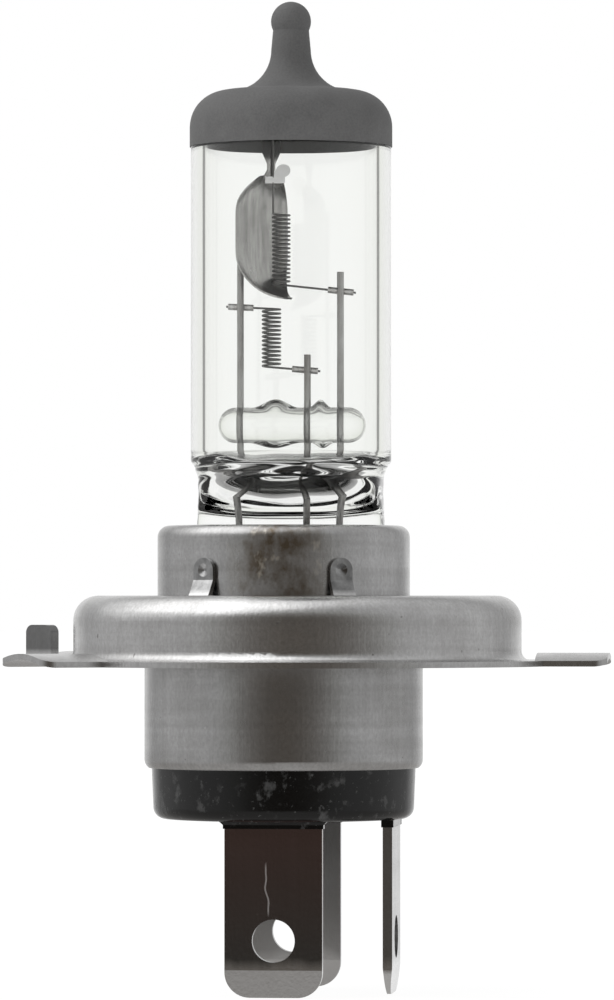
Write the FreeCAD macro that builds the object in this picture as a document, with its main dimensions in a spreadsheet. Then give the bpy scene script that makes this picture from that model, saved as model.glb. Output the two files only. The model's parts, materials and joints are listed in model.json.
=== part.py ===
import FreeCAD, Part
import os
from math import atan2, cos, degrees, pi, radians, sin, sqrt
from types import SimpleNamespace

import Sketcher
from FreeCAD import Placement, Rotation, Vector

# A twin-filament halogen headlight bulb in a three-lug focusing cap.
# Millimetres. The origin is the centre of the pilot ring on the front face of its flange,
# +Z points to the glass tip and +X to the reference lug, which is the lug over the single blade.

DRIVING_SIZES = (
    # flange ring
    ("ring_radius", 19.0, "outside of the pilot ring"),
    ("ring_height", 5.47, "top of the pilot ring above the flange face"),
    ("ring_corner", 2.1, "outer corner radius of the pilot ring"),
    ("ring_foot", 0.8, "fillet between the pilot wall and the flange face"),
    ("ring_sheet", 0.48, "sheet thickness of the flange ring"),
    ("ring_hole", 11.0, "radius of the hole in the top of the ring"),
    ("flange_radius", 21.5, "rim of the flange"),
    ("lug_reach", 26.45, "lug end from the ring centre"),
    ("lug_root", 20.4, "where the flange is pressed up into the arch of a lug"),
    ("lug_width", 8.2, "lug width"),
    ("lug_rise", 0.65, "height of the arch pressed along a lug"),
    ("lug_corner", 1.2, "corner radius in plan at a lug end"),
    ("ear_length", 2.95, "bent-up ear, along its lug"),
    ("ear_gap", 0.5, "gap between the lug's side and the ear"),
    ("ear_sheet", 1.0, "thickness of the doubled ear"),
    ("ear_top", 2.95, "top of the ear above the flange face"),
    ("ear_corner", 0.7, "corner radius at the top of the ear"),
    ("tab_width", 2.05, "width of a weld tab, and diameter of its round head"),
    ("tab_sheet", 0.4, "thickness of a weld tab"),
    ("tab_lean", 0.42, "how far the foot of a weld tab stands off the shell"),
    ("dimple_radius", 0.55, "welding dimple in the head of a tab"),
    ("dimple_depth", 0.22, "depth of the welding dimple"),
    ("tab_bend", 6.65, "height of the bend in a weld tab"),
    ("tab_head", 7.6, "height of the centre of a weld tab's head"),
    # shells
    ("shell_offset", -1.17, "shell axis from the ring centre, set when the filaments are focused"),
    ("shell_sheet", 0.35, "sheet thickness of both shells"),
    ("upper_shell_radius", 10.7, "outside of the upper shell"),
    ("upper_shell_top", 11.4, "top of the upper shell"),
    ("upper_shell_foot", -3.5, "open lower end of the upper shell"),
    ("upper_shell_corner", 1.0, "top corner radius of the upper shell"),
    ("lower_shell_radius", 11.8, "outside of the lower shell"),
    ("lower_shell_top", 4.4, "shoulder of the lower shell inside the ring"),
    ("lower_shell_foot", -9.1, "rolled lower end of the lower shell"),
    ("lower_shell_corner", 0.8, "shoulder radius of the lower shell"),
    ("roll_radius", 0.9, "outer radius of the rolled-in end"),
    # insulator
    ("base_radius", 11.2, "insulator just below the lower shell"),
    ("base_foot_radius", 11.05, "insulator at its foot"),
    ("base_seat_radius", 11.4, "insulator inside the lower shell"),
    ("base_cavity_radius", 10.1, "wiring cavity in the top of the insulator"),
    ("base_cavity_floor", -7.6, "floor of the wiring cavity"),
    ("base_top", -3.8, "upper rim of the insulator"),
    ("base_foot", -13.4, "bottom face of the insulator"),
    ("base_corner", 1.0, "bottom corner radius of the insulator"),
    ("boss_height", 0.6, "moulded boss round each blade"),
    ("boss_margin", 0.12, "boss outline outside the blade"),
    ("boss_flare", 0.28, "sloping root of the bosses of the side blades, its height and its spread"),
    # blades
    ("blade_width", 8.2, "terminal blade width"),
    ("blade_sheet", 0.8, "terminal blade thickness"),
    ("blade_end", -28.1, "free end of the blades"),
    ("blade_corner", 2.1, "corner radius at the free end"),
    ("blade_hole", 1.8, "radius of the locking hole"),
    ("blade_hole_rise", 4.75, "locking hole centre above the free end"),
    ("blade_bevel_rise", 2.3, "length of the bevel at the free end"),
    ("blade_bevel", 0.25, "depth of the bevel on each face"),
    ("tongue_width", 3.0, "weld tongue on the inner end of a blade"),
    ("tongue_top", -3.9, "top of the weld tongues"),
    ("side_blade_reach", 8.25, "side blades from the shell axis, in Y"),
    ("single_blade_reach", 9.17, "single blade from the shell axis, in X"),
    # glass
    ("glass_offset", -0.55, "glass axis from the ring centre"),
    ("glass_radius", 8.5, "outside of the glass tube"),
    ("glass_wall", 1.2, "glass wall"),
    ("glass_shoulder", 45.2, "where the tube turns into the dome"),
    ("dome_radius", 3.0, "corner radius of the dome"),
    ("flare_radius", 3.6, "concave radius between dome and tip"),
    ("tip_radius", 1.58, "foot of the sealed tip's neck"),
    ("tip_ball", 1.6, "ball at the end of the tip"),
    ("tip_top", 55.8, "top of the glass"),
    ("tip_bore", 0.5, "radius of the exhaust bore left in the tip"),
    ("tip_bore_top", 50.6, "closed end of the exhaust bore"),
    ("coat_sheet", 0.1, "thickness of the opaque coating"),
    ("coat_edge", 43.55, "lower edge of the coating"),
    ("glass_floor", 16.9, "inner floor of the tube at its corner"),
    ("glass_floor_dip", 1.5, "how far the floor sags at its centre"),
    ("glass_floor_corner", 1.0, "inner floor corner radius"),
    ("glass_waist", 8.05, "radius at the top of the waist above the pinch"),
    ("glass_waist_top", 16.5, "height of the top of the waist"),
    ("glass_waist_curve", 8.4, "radius of the hollow of the waist"),
    ("pinch_radius", 7.9, "half width of the pinch"),
    ("pinch_shoulder", 12.2, "lower end of the waist"),
    ("pinch_half", 2.3, "half thickness of the pinch"),
    ("pinch_foot", 8.4, "lower end of the pinch"),
    ("press_foot", 12.3, "where the pinch starts to swell into the tube"),
    ("press_curve", 2.6, "radius of the curves of the swelling"),
    # posts, bridge and leads
    ("post_radius", 0.29, "molybdenum posts"),
    ("post_line", 0.0, "plane of the posts, in Y"),
    ("post_foot", 5.0, "lower end of the posts"),
    ("common_post_at", -4.88, "common post, in X"),
    ("common_post_top", 39.06, "top of the common post"),
    ("high_post_at", 0.85, "high beam post, in X"),
    ("high_post_top", 25.9, "top of the high beam post"),
    ("low_post_at", 3.65, "low beam post, in X"),
    ("low_post_top", 32.9, "top of the low beam post"),
    ("bridge_at", -0.5, "centre of the glass bridge, in X"),
    ("bridge_height", 19.9, "centre of the glass bridge, in Z"),
    ("bridge_radius", 1.53, "radius of the glass bridge"),
    ("bridge_half", 6.3, "half length of the glass bridge"),
    ("lead_radius", 0.35, "nickel lead-out wires"),
    ("lead_top", 7.4, "upper end of the leads, beside the posts"),
    ("lead_drop", 1.5, "where the leads turn outwards"),
    ("lead_turn", -4.4, "where the leads turn down along the blades"),
    ("lead_foot", -6.6, "lower end of the leads"),
    # filaments
    ("wire_radius", 0.09, "tungsten wire"),
    ("low_coil_at", -1.37, "axis of the low beam coil, in X"),
    ("low_coil_radius", 0.71, "winding radius of the low beam coil"),
    ("low_coil_foot", 31.85, "lowest turn of the low beam coil"),
    ("low_coil_pitch", 0.35, "pitch of the low beam coil"),
    ("high_coil_at", -2.2, "axis of the high beam coil, in X"),
    ("high_coil_radius", 0.75, "winding radius of the high beam coil"),
    ("high_coil_foot", 24.85, "lowest turn of the high beam coil"),
    ("high_coil_pitch", 0.355, "pitch of the high beam coil"),
    ("leg_top", 44.2, "upper end of the low beam coil's upper leg"),
    ("sleeve_radius", 0.275, "crimp sleeves"),
    ("sleeve_length", 2.2, "length of a crimp sleeve"),
    # shield
    ("shield_sheet", 0.12, "sheet thickness of the shield"),
    ("shield_at", -3.05, "middle of the shield's mouth, in X"),
    ("shield_depth_at", 0.67, "middle of the shield's mouth, in Y"),
    ("shield_foot", 30.57, "lower tip of the shield"),
    ("shield_top", 41.05, "top of the shield, where its tongue starts"),
    ("shield_mouth", 2.85, "half width of the shield's mouth"),
    ("shield_dish", 0.66, "depth of the shield's dish"),
    ("tongue_reach", 44.4, "upper end of the shield's tongue"),
    ("shield_tongue_width", 1.9, "width of the shield's tongue at its top"),
    # pinch clip
    ("clip_radius", 10.3, "disc of the pinch clip"),
    ("clip_height", 9.4, "underside of the pinch clip's disc"),
    ("clip_sheet", 0.4, "sheet thickness of the pinch clip"),
    ("clip_finger", 1.4, "height of the fingers that grip the pinch"),
)

LUG_ANGLES = (0.0, 144.4, -144.4)
EAR_LUG = 144.4
WELD_TAB_ANGLES = (58.5, 121.5, -58.5, -121.5)
NECK_ANGLE = radians(26)  # below the ball's widest circle, where the neck meets it
ROLL_SWEEP = radians(54)
SHIELD_FACING = radians(-43.1)
CLIP_LEAN = 28.0  # degrees that the clip leans back
WELD = 0.001  # tolerance for joining the legs to a coil
LOW_COIL_TURNS = 17.25
HIGH_COIL_TURNS = 14.0
CLEAR = 40.0  # longer than anything a through cut has to pass

document = FreeCAD.newDocument("headlight_bulb")
sheet = document.addObject("Spreadsheet::Sheet", "Dimensions")
nodes = []


class Length:
    """A size that knows its number and the sheet expression that gives it."""

    def __init__(self, number, text):
        self.number = number
        self.text = text

    def __float__(self):
        return self.number

    def __neg__(self):
        return Length(-self.number, f"(-{self.text})")

    def __add__(self, other):
        return Length(self.number + float(other), f"({self.text} + {words(other)})")

    def __radd__(self, other):
        return self + other

    def __sub__(self, other):
        return Length(self.number - float(other), f"({self.text} - {words(other)})")

    def __rsub__(self, other):
        return -self + other

    def __mul__(self, factor):
        return Length(self.number * float(factor), f"({self.text} * {words(factor)})")

    def __rmul__(self, factor):
        return self * factor

    def __truediv__(self, factor):
        return Length(self.number / float(factor), f"({self.text} / {words(factor)})")


def words(value):
    """The expression of a length, or a plain number written out."""
    if isinstance(value, Length):
        return value.text
    return f"{float(value):.12g}"


def fill_sheet():
    """Writes the driving sizes to the sheet and returns them by name."""
    sizes = {}
    for row, (alias, number, note) in enumerate(DRIVING_SIZES, 1):
        sheet.set(f"A{row}", alias)
        sheet.set(f"B{row}", str(number))
        sheet.setAlias(f"B{row}", alias)
        sheet.set(f"C{row}", note)
        sizes[alias] = Length(number, f"Dimensions.{alias}")
    document.recompute()
    return SimpleNamespace(**sizes)


def drive(item, name, value):
    """Ties a property of an object to the sheet."""
    if isinstance(value, Length):
        item.setExpression(name, value.text)
    else:
        item.setExpression(name, words(value))


def place(item, at=(0, 0, 0)):
    """Ties an object's position to the sheet."""
    for axis, value in zip("xyz", at):
        if isinstance(value, Length):
            item.setExpression(f"Placement.Base.{axis}", value.text)
        elif value:
            item.setExpression(f"Placement.Base.{axis}", words(value))


def keep(item, node):
    """Makes an object one of the pieces that are written out."""
    item.Label = node
    nodes.append(item)
    return item


# ---------------------------------------------------------------- sketches and features


def new_body(name):
    return document.addObject("PartDesign::Body", name)


def sketch_on(body, name, role, angle=0.0, at=(0, 0, 0)):
    """A sketch on one of the body's planes, swung about Z by angle and moved in its own axes."""
    sketch = body.newObject("Sketcher::SketchObject", name)
    planes = {item.Role: item for item in body.Origin.OriginFeatures}
    sketch.AttachmentSupport = (planes[role], [""])
    sketch.MapMode = "FlatFace"
    swing = Vector(0, 0, 1) if role == "XY_Plane" else Vector(0, 1, 0)
    sketch.AttachmentOffset = Placement(Vector(), Rotation(swing, angle))
    for axis, value in zip("xyz", at):
        sketch.setExpression(f"AttachmentOffset.Base.{axis}", words(value))
    return sketch


def facing_sketch(body, name, angle, reach, centre_x=0.0):
    """A sketch square to the radius at angle, at a distance from a vertical axis."""
    across = reach * sin(radians(angle))
    along = reach * cos(radians(angle)) + centre_x
    return sketch_on(body, name, "YZ_Plane", angle, (across, 0.0, along))


def arc_between(start, end, bend):
    """A circular arc, and whether it runs backwards. Positive bends turn left."""
    chord = end - start
    radius = abs(bend)
    rise = sqrt(max(radius**2 - chord.Length**2 / 4, 0.0))
    left = Vector(-chord.y, chord.x, 0).normalize()
    centre = (start + end) * 0.5 + left * (rise if bend > 0 else -rise)
    first, last = (start, end) if bend > 0 else (end, start)
    from_angle = atan2(first.y - centre.y, first.x - centre.x)
    to_angle = atan2(last.y - centre.y, last.x - centre.x)
    if to_angle < from_angle:
        to_angle += 2 * pi
    circle = Part.Circle(centre, Vector(0, 0, 1), radius)
    return Part.ArcOfCircle(circle, from_angle, to_angle), bend < 0


def fix(sketch, kind, references, value):
    """Adds a dimension to a sketch and ties it to the sheet."""
    index = sketch.addConstraint(Sketcher.Constraint(kind, *references, float(value)))
    if isinstance(value, Length):
        sketch.setExpression(f"Constraints[{index}]", value.text)


def outline(sketch, points):
    """Draws a closed outline. A third entry bends the side after the point to that radius."""
    first_side = sketch.GeometryCount
    corners = [Vector(float(point[0]), float(point[1]), 0) for point in points]
    ends = []
    for number, point in enumerate(points):
        start = corners[number]
        end = corners[(number + 1) % len(points)]
        if len(point) == 3:
            side, backwards = arc_between(start, end, float(point[2]))
        else:
            side, backwards = Part.LineSegment(start, end), False
        sketch.addGeometry(side, False)
        ends.append((2, 1) if backwards else (1, 2))
    for number, point in enumerate(points):
        side = first_side + number
        following = (number + 1) % len(points)
        joint = (side, ends[number][1], first_side + following, ends[following][0])
        sketch.addConstraint(Sketcher.Constraint("Coincident", *joint))
        fix(sketch, "DistanceX", (-1, 1, side, ends[number][0]), point[0])
        fix(sketch, "DistanceY", (-1, 1, side, ends[number][0]), point[1])
        if len(point) == 3:
            bend = point[2]
            fix(sketch, "Radius", (side,), bend if float(bend) > 0 else -bend)


def circle(sketch, x, y, radius):
    """Draws a full circle."""
    index = sketch.GeometryCount
    round_edge = Part.Circle(Vector(float(x), float(y), 0), Vector(0, 0, 1), float(radius))
    sketch.addGeometry(round_edge, False)
    fix(sketch, "DistanceX", (-1, 1, index, 3), x)
    fix(sketch, "DistanceY", (-1, 1, index, 3), y)
    fix(sketch, "Radius", (index,), radius)


def box_outline(sketch, x, y, width, height):
    """Draws a rectangle by its centre and sizes."""
    left, right = x - width / 2, x + width / 2
    low, high = y - height / 2, y + height / 2
    outline(sketch, [(left, low), (right, low), (right, high), (left, high)])


def revolve(body, sketch, name):
    feature = body.newObject("PartDesign::Revolution", name)
    feature.Profile = sketch
    feature.ReferenceAxis = (sketch, ["V_Axis"])
    feature.Angle = 360
    return feature


def groove(body, sketch, name):
    """Turns a sketch about its own horizontal axis and cuts it away."""
    feature = body.newObject("PartDesign::Groove", name)
    feature.Profile = sketch
    feature.ReferenceAxis = (sketch, ["H_Axis"])
    feature.Angle = 360
    return feature


def extrude(body, sketch, name, length, side="One side", cut=False, reverse=False):
    feature = body.newObject("PartDesign::Pocket" if cut else "PartDesign::Pad", name)
    feature.Profile = sketch
    feature.SideType = side
    feature.Reversed = reverse
    drive(feature, "Length", length)
    return feature


def cut_through(body, sketch, name):
    """Cuts a sketch right through the body, both ways from its plane."""
    return extrude(body, sketch, name, CLEAR, "Symmetric", cut=True)


def cylinder(name, radius, height, at):
    item = document.addObject("Part::Cylinder", name)
    drive(item, "Radius", radius)
    drive(item, "Height", height)
    place(item, at)
    return item


def cut_from(base, tools, name):
    """Part booleans: the base with every tool taken out of it."""
    group = tools[0]
    if len(tools) > 1:
        group = document.addObject("Part::MultiFuse", name + "_cutters")
        group.Shapes = tools
    item = document.addObject("Part::Cut", name)
    item.Base = base
    item.Tool = group
    return item


def shape_feature(name, shape):
    item = document.addObject("Part::Feature", name)
    item.Shape = shape
    return item


# ---------------------------------------------------------------- glass


def dome_side(size, skin):
    """The outside of the dome and tip, from the tube to the top, grown by a skin."""
    shoulder = size.glass_shoulder + size.dome_radius
    ball = size.tip_ball + skin
    ball_foot = size.tip_top - size.tip_ball - ball * sin(NECK_ANGLE)
    return [
        (size.glass_radius + skin, size.glass_shoulder, size.dome_radius + skin),
        (size.glass_radius - size.dome_radius, shoulder + skin),
        (size.tip_radius + size.flare_radius, shoulder + skin, -(size.flare_radius - skin)),
        (size.tip_radius + skin, shoulder + size.flare_radius),
        (ball * cos(NECK_ANGLE), ball_foot, ball),
        (0.0, size.tip_top + skin),
    ]


def mirrored(points):
    """The same outline walked the other way round."""
    walked = []
    for number in range(len(points) - 1, -1, -1):
        before = points[number - 1] if number else ()
        bend = (-before[2],) if len(before) == 3 else ()
        walked.append(points[number][:2] + bend)
    return walked


def glass_envelope(size):
    """Tube, dome and tip turned in one piece, then pressed flat below to seal on the posts."""
    body = new_body("glass_envelope")
    turned = sketch_on(body, "glass_profile", "XZ_Plane")
    bore = size.glass_radius - size.glass_wall
    ceiling = size.glass_shoulder + size.dome_radius - size.glass_wall
    bore_flare = size.flare_radius - 0.4
    corner = size.glass_floor_corner
    outside = [
        (0.0, size.pinch_foot),
        (size.pinch_radius, size.pinch_foot),
        (size.pinch_radius, size.pinch_shoulder, -size.glass_waist_curve),
        (size.glass_waist, size.glass_waist_top, size.dome_radius * 0.6),
        (size.glass_radius, size.glass_waist_top + 1.2),
    ]
    inside = [
        (0.0, size.tip_bore_top),
        (size.tip_bore, size.tip_bore_top - size.tip_bore),
        (size.tip_bore, ceiling + bore_flare, bore_flare),
        (size.tip_bore + bore_flare, ceiling),
        (size.glass_radius - size.dome_radius, ceiling, -(size.dome_radius - size.glass_wall)),
        (bore, size.glass_shoulder),
        (bore, size.glass_floor + corner, -corner),
        (bore - corner, size.glass_floor),
        (0.0, size.glass_floor - size.glass_floor_dip),
    ]
    outline(turned, outside + dome_side(size, 0.0) + inside)
    revolve(body, turned, "glass_turned")
    pressed = sketch_on(body, "press_profile", "YZ_Plane")
    steep, flat = sin(radians(80)), 1 - cos(radians(80))
    first_y = size.pinch_half + size.press_curve * flat
    first_z = size.press_foot + size.press_curve * steep
    last_y = size.glass_radius - size.press_curve * flat
    last_z = first_z + (last_y - first_y) * (cos(radians(80)) / steep)
    top = last_z + size.press_curve * steep
    outer = size.glass_radius + 1.0
    foot = size.pinch_foot - 0.5
    walk = [
        (size.pinch_half, foot),
        (size.pinch_half, size.press_foot, -size.press_curve),
        (first_y, first_z),
        (last_y, last_z, size.press_curve),
        (size.glass_radius, top),
        (outer, top),
        (outer, foot),
    ]
    outline(pressed, walk)
    other_side = [(-point[0], point[1]) + tuple(-bend for bend in point[2:]) for point in walk]
    outline(pressed, other_side)
    cut_through(body, pressed, "glass_pressed")
    channels = sketch_on(body, "channel_profile", "XY_Plane", at=(0, 0, size.pinch_foot))
    for post in (size.common_post_at, size.high_post_at, size.low_post_at):
        circle(channels, post - size.glass_offset, size.post_line, size.post_radius)
    depth = size.glass_floor - size.pinch_foot + 1.0
    extrude(body, channels, "glass_channels", depth, cut=True, reverse=True)
    place(body, (size.glass_offset, 0, 0))
    return keep(body, "glass_envelope")


def glare_cap(size):
    """The opaque coating, a thin skin on the dome, the tip and the top of the tube."""
    body = new_body("glare_cap")
    skin = sketch_on(body, "coat_profile", "XZ_Plane")
    outer = [(size.glass_radius + size.coat_sheet, size.coat_edge)] + dome_side(size, size.coat_sheet)
    inner = mirrored(dome_side(size, 0.0)) + [(size.glass_radius, size.coat_edge)]
    outline(skin, outer + inner)
    revolve(body, skin, "coat_turned")
    place(body, (size.glass_offset, 0, 0))
    return keep(body, "glare_cap")


def glass_bridge(size):
    """A fire-polished glass rod with swellings between the posts that it holds."""
    swellings = (  # X from the middle, Z from the axis, half length, half height
        (-1.35, 1.27, 1.8, 0.95),
        (2.45, 1.27, 0.75, 0.9),
        (-1.45, -1.2, 2.3, 0.95),
        (2.65, -1.2, 0.85, 0.95),
    )
    rod = cylinder("bridge_rod", size.bridge_radius, (size.bridge_half - size.bridge_radius) * 2, ())
    rod.Placement = Placement(Vector(), Rotation(Vector(0, 1, 0), 90))
    place(
        rod,
        (
            size.bridge_at - size.bridge_half + size.bridge_radius,
            size.post_line,
            size.bridge_height,
        ),
    )
    pieces = [rod]
    for number, side in enumerate((-1, 1)):
        end = document.addObject("Part::Sphere", f"bridge_end_{number}")
        drive(end, "Radius", size.bridge_radius)
        reach = (size.bridge_half - size.bridge_radius) * side
        place(end, (size.bridge_at + reach, size.post_line, size.bridge_height))
        pieces.append(end)
    for number, (along, above, half_length, half_height) in enumerate(swellings):
        swelling = document.addObject("Part::Ellipsoid", f"bridge_swelling_{number}")
        drive(swelling, "Radius1", half_height)
        drive(swelling, "Radius2", half_length)
        drive(swelling, "Radius3", size.bridge_radius * 0.55)
        centre = (size.bridge_at + along, size.post_line, size.bridge_height + above)
        place(swelling, centre)
        pieces.append(swelling)
    rod_and_ends = document.addObject("Part::MultiFuse", "bridge_solid")
    rod_and_ends.Shapes = pieces
    holes = []
    for post in (size.common_post_at, size.high_post_at, size.low_post_at):
        low = size.bridge_height - size.bridge_radius * 2
        height = size.bridge_radius * 4
        at = (post, size.post_line, low)
        holes.append(cylinder("bridge_hole", size.post_radius, height, at))
    return keep(cut_from(rod_and_ends, holes, "glass_bridge"), "glass_bridge")


# ---------------------------------------------------------------- posts, leads and filaments


def posts(size):
    tops = (
        ("common_post", size.common_post_at, size.common_post_top),
        ("low_beam_post", size.low_post_at, size.low_post_top),
        ("high_beam_post", size.high_post_at, size.high_post_top),
    )
    for node, x, top in tops:
        at = (x, size.post_line, size.post_foot)
        keep(cylinder(node, size.post_radius, top - size.post_foot, at), node)


def bent_wire(points, radius, bend):
    """A round wire through the points, with its corners rounded to one bend radius."""
    edges = []
    start = points[0]
    for before, corner, after in zip(points, points[1:], points[2:]):
        back = (before - corner).normalize()
        ahead = (after - corner).normalize()
        half_turn = back.getAngle(ahead) / 2
        setback = bend / (sin(half_turn) / cos(half_turn))
        toward_centre = (back + ahead).normalize()
        arc_start = corner + back * setback
        arc_end = corner + ahead * setback
        arc_middle = corner + toward_centre * (bend / sin(half_turn) - bend)
        edges.append(Part.LineSegment(start, arc_start).toShape())
        edges.append(Part.Arc(arc_start, arc_middle, arc_end).toShape())
        start = arc_end
    edges.append(Part.LineSegment(start, points[-1]).toShape())
    path = Part.Wire(edges)
    section = Part.Wire(Part.makeCircle(radius, points[0], points[1] - points[0]))
    return path.makePipeShell([section], True, False)


def lead_wires(size):
    """Each lead lies beside its post, turns outwards and runs down the inside of its blade."""
    beside_post = float(size.post_line + size.post_radius + size.lead_radius)
    beside_blade = float(size.blade_sheet / 2 + size.lead_radius)
    side = float(size.side_blade_reach) - beside_blade
    single = float(size.shell_offset + size.single_blade_reach) - beside_blade
    middle = float(size.shell_offset)
    ends = (
        ("common_lead", size.common_post_at, middle, -side),
        ("low_beam_lead", size.low_post_at, single, 0.0),
        ("high_beam_lead", size.high_post_at, middle, side),
    )
    for node, post, blade_x, blade_y in ends:
        points = [
            Vector(float(post), beside_post, float(size.lead_top)),
            Vector(float(post), beside_post, float(size.lead_drop)),
            Vector(blade_x, blade_y, float(size.lead_turn)),
            Vector(blade_x, blade_y, float(size.lead_foot)),
        ]
        wire = bent_wire(points, float(size.lead_radius), 3 * float(size.lead_radius))
        keep(shape_feature(node, wire), node)


def coil(centre, radius, pitch, turns, wire):
    """A right-handed winding that starts at the back, in +Y, and climbs."""
    helix = Part.makeHelix(pitch, pitch * turns, radius)
    start = Vector(radius, 0, 0)
    slope = Vector(0, 2 * pi * radius, pitch)
    section = Part.Wire(Part.makeCircle(wire, start, slope))
    winding = Part.Wire(helix.Edges).makePipeShell([section], True, True)
    winding.Placement = Placement(centre, Rotation(Vector(0, 0, 1), 90))
    return winding


def straight_wire(start, end, radius):
    return Part.makeCylinder(radius, (end - start).Length, start, end - start)


def filaments(size):
    """Both coils, with the legs that run to the sleeves and to the shield's tongue."""
    wire = float(size.wire_radius)
    leg_line = float(size.post_line + size.post_radius + size.sleeve_radius)
    low_radius, high_radius = float(size.low_coil_radius), float(size.high_coil_radius)
    low_centre = Vector(float(size.low_coil_at), leg_line - low_radius, float(size.low_coil_foot))
    high_centre = Vector(float(size.high_coil_at), leg_line - high_radius, float(size.high_coil_foot))
    low_climb = float(size.low_coil_pitch) * LOW_COIL_TURNS
    high_climb = float(size.high_coil_pitch) * HIGH_COIL_TURNS

    low_start = low_centre + Vector(0, low_radius, 0)
    low_end = Vector(float(size.low_post_at) + 1.3, leg_line, low_start.z - 0.7)
    rise_foot = low_centre + Vector(-low_radius, 0, low_climb)
    rise_foot += Vector(wire / 4, 0, -wire / 2)
    rise_top = Vector(rise_foot.x, rise_foot.y, float(size.leg_top))
    low = coil(low_centre, low_radius, float(size.low_coil_pitch), LOW_COIL_TURNS, wire)
    low_legs = [straight_wire(low_start, low_end, wire), straight_wire(rise_foot, rise_top, wire)]
    keep(shape_feature("low_beam_filament", low.fuse(low_legs, WELD)), "low_beam_filament")

    high_start = high_centre + Vector(0, high_radius, 0)
    high_top = high_start + Vector(0, 0, high_climb)
    upper_end = Vector(float(size.common_post_at) - 1.35, leg_line, high_top.z + 0.2)
    lower_end = Vector(float(size.high_post_at) + 1.05, leg_line, high_start.z - 0.35)
    high = coil(high_centre, high_radius, float(size.high_coil_pitch), HIGH_COIL_TURNS, wire)
    high_legs = [straight_wire(high_top, upper_end, wire), straight_wire(high_start, lower_end, wire)]
    keep(shape_feature("high_beam_filament", high.fuse(high_legs, WELD)), "high_beam_filament")

    sleeve(size, "low_beam_sleeve", low_start, low_end)
    sleeve(size, "high_beam_upper_sleeve", high_top, upper_end)
    sleeve(size, "high_beam_lower_sleeve", high_start, lower_end)


def sleeve(size, node, leg_start, leg_end):
    """A small tube crimped on a leg, near its free end, where the leg crosses its post."""
    along = (leg_end - leg_start).normalize()
    start = leg_end - along * (float(size.sleeve_length) + 0.2)
    end = leg_end - along * 0.2
    outside = straight_wire(start, end, float(size.sleeve_radius))
    bore = straight_wire(leg_start, leg_end + along, float(size.wire_radius))
    keep(shape_feature(node, outside.cut(bore)), node)


# ---------------------------------------------------------------- shield


def shield_point(size, station, across):
    """A point of the shield: across runs from -1 at one rim through the middle to 1 at the other."""
    half, rim_ahead, rim_height, middle_ahead, middle_height = station
    facing = Vector(cos(SHIELD_FACING), sin(SHIELD_FACING), 0)
    sideways = Vector(-facing.y, facing.x, 0)
    ahead = middle_ahead + (rim_ahead - middle_ahead) * across**2
    height = middle_height + (rim_height - middle_height) * across**2
    middle = Vector(float(size.shield_at), float(size.shield_depth_at), 0)
    return middle + facing * ahead + sideways * (half * across) + Vector(0, 0, height)


def shield_stations(size):
    """Sections of the shield from its lower tip to its tongue: half width, then how far ahead
    of the mouth's plane and how high the rims are, then the same for the middle of the sheet."""
    mouth, dish = float(size.shield_mouth), -float(size.shield_dish)
    low, high = float(size.shield_foot), float(size.shield_top)
    return (
        (0.15, 3.65, low, 3.75, low),
        (0.75, 2.7, low + 0.25, 2.6, low + 0.15),
        (1.4, 1.65, low + 0.7, 1.4, low + 0.4),
        (1.95, 0.9, low + 1.35, 0.45, low + 0.85),
        (2.45, 0.3, low + 2.3, -0.3, low + 1.65),
        (0.97 * mouth, 0.05, low + 3.25, dish * 0.86, low + 2.8),
        (mouth, 0.0, low + 4.5, dish, low + 4.4),
        (mouth, 0.0, high - 3.4, dish, high - 3.2),
        (0.97 * mouth, 0.05, high - 2.4, dish * 0.86, high - 2.0),
        (2.4, 0.3, high - 1.5, -0.25, high - 1.0),
        (1.8, 0.75, high - 0.7, 0.4, high - 0.35),
        (1.2, 1.15, high - 0.1, 1.1, high - 0.02),
    )


def shield(size):
    """A spoon of sheet metal round the back of the low beam coil, with a waisted tongue on top."""
    steps = [step / 3 for step in range(-3, 4)]
    grid = [[shield_point(size, station, step) for step in steps] for station in shield_stations(size)]
    surface = Part.BSplineSurface()
    surface.interpolate(grid)
    gauge = float(size.shield_sheet)
    dish = surface.toShape().makeOffsetShape(gauge, 0.001, fill=True)
    if dish.Volume < 0:
        dish.reverse()

    neck, root, wide = 0.42, 0.95, float(size.shield_tongue_width) / 2
    bottom, top = float(size.shield_top) - 0.25, float(size.tongue_reach)
    right_edge = [(root, bottom), (neck, bottom + 0.75), (neck, bottom + 1.3), (wide, bottom + 2.2), (wide, top)]
    left_edge = [(-across, height) for across, height in reversed(right_edge)]
    corners = [Vector(0, across, height) for across, height in right_edge + left_edge]
    tongue = Part.Face(Part.makePolygon(corners + corners[:1])).extrude(Vector(gauge, 0, 0))
    ahead = Vector(cos(SHIELD_FACING), sin(SHIELD_FACING), 0) * 1.05
    middle = Vector(float(size.shield_at), float(size.shield_depth_at), 0)
    tongue.Placement = Placement(middle + ahead, Rotation(Vector(0, 0, 1), degrees(SHIELD_FACING)))
    keep(shape_feature("low_beam_shield", dish.fuse([tongue], WELD)), "low_beam_shield")


def shield_clip(size):
    """A small bright strip with a round end, folded round the tongue and the coil's upper leg."""
    leg = float(size.low_coil_at - size.low_coil_radius)
    gauge = float(size.shield_sheet)
    tail = Part.makeBox(0.62, gauge, 0.6, Vector(-0.72, 0, 0))
    plate = Part.makeBox(0.95, gauge, 1.25, Vector(0.0, 0, 0))
    bar = Part.makeBox(0.5, gauge, 0.4, Vector(-0.3, 0, 0.1))
    head = Part.makeCylinder(0.62, gauge, Vector(0.75, 0, 1.2), Vector(0, 1, 0))
    strip = plate.fuse([head, bar, tail], WELD).removeSplitter()
    lean = Rotation(Vector(1, 0, 0), -CLIP_LEAN)
    strip.Placement = Placement(Vector(leg + 0.14, -0.92, float(size.shield_top) - 0.6), lean)
    keep(shape_feature("shield_clip", strip), "shield_clip")


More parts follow.
